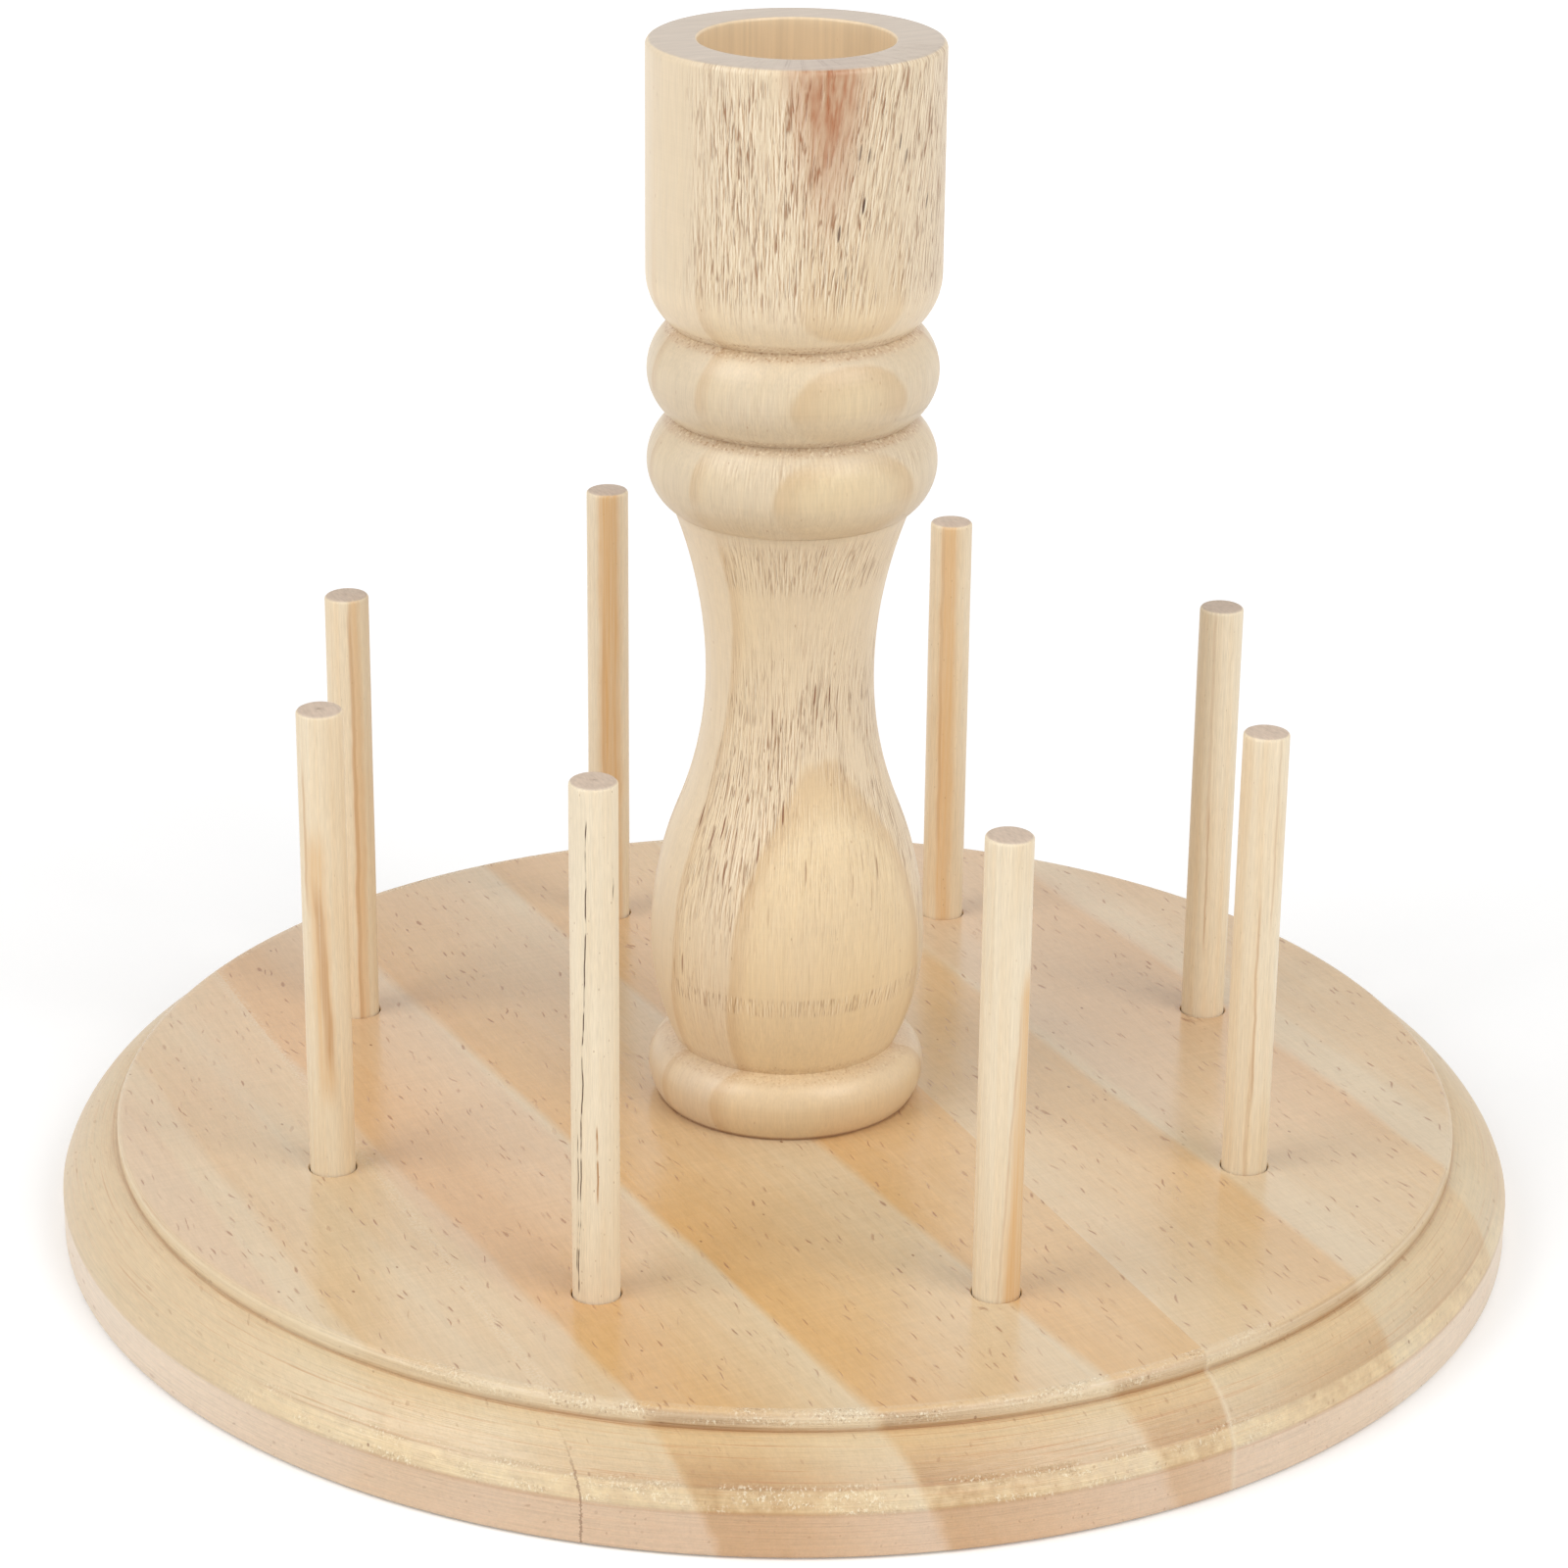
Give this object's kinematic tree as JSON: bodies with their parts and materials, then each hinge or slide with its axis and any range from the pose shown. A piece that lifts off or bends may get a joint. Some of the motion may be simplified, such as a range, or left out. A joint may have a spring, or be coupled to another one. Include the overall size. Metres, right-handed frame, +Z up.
{
  "type": "thread spool rack",
  "caption": "Free-standing wooden rack for thread spools: a round board with a moulded rim, a ring of upright dowel pegs, and a turned centre post with an open cup on top.",
  "frame": {"origin": "centre of the board's underside, where the rack stands", "axes": "+Z up along the post, +Y along the grain and the glue lines of the board, first peg on +X"},
  "size_m": [0.26, 0.26, 0.2114],
  "materials": {
    "board_wood": "sanded, thin clear satin lacquer",
    "post_wood": "turned, thin clear satin lacquer",
    "peg_wood": "plain dowel, bare",
    "screw_steel": "zinc plated"
  },
  "bodies": {
    "rack": {"base_stave_left": "board_wood", "base_stave_middle": "board_wood", "base_stave_right": "board_wood", "post": "post_wood", "post_screw": "screw_steel", "screw_washer": "screw_steel"},
    "peg_1": {"peg_1": "peg_wood"},
    "peg_2": {"peg_2": "peg_wood"},
    "peg_3": {"peg_3": "peg_wood"},
    "peg_4": {"peg_4": "peg_wood"},
    "peg_5": {"peg_5": "peg_wood"},
    "peg_6": {"peg_6": "peg_wood"},
    "peg_7": {"peg_7": "peg_wood"},
    "peg_8": {"peg_8": "peg_wood"}
  },
  "joints": [
    {"name": "peg_1_pull", "type": "slide", "parent": "rack", "child": "peg_1", "axis": [0, 0, 1], "range_m": [-0.0005, 0.0195]},
    {"name": "peg_2_pull", "type": "slide", "parent": "rack", "child": "peg_2", "axis": [0, 0, 1], "range_m": [-0.0014, 0.0186]},
    {"name": "peg_3_pull", "type": "slide", "parent": "rack", "child": "peg_3", "axis": [0, 0, 1], "range_m": [-0.0076, 0.0124]},
    {"name": "peg_4_pull", "type": "slide", "parent": "rack", "child": "peg_4", "axis": [0, 0, 1], "range_m": [-0.0025, 0.0175]},
    {"name": "peg_5_pull", "type": "slide", "parent": "rack", "child": "peg_5", "axis": [0, 0, 1], "range_m": [-0.0051, 0.0149]},
    {"name": "peg_6_pull", "type": "slide", "parent": "rack", "child": "peg_6", "axis": [0, 0, 1], "range_m": [-0.0107, 0.0093]},
    {"name": "peg_7_pull", "type": "slide", "parent": "rack", "child": "peg_7", "axis": [0, 0, 1], "range_m": [-0.0015, 0.0185]},
    {"name": "peg_8_pull", "type": "slide", "parent": "rack", "child": "peg_8", "axis": [0, 0, 1], "range_m": [-0.0012, 0.0188]}
  ]
}
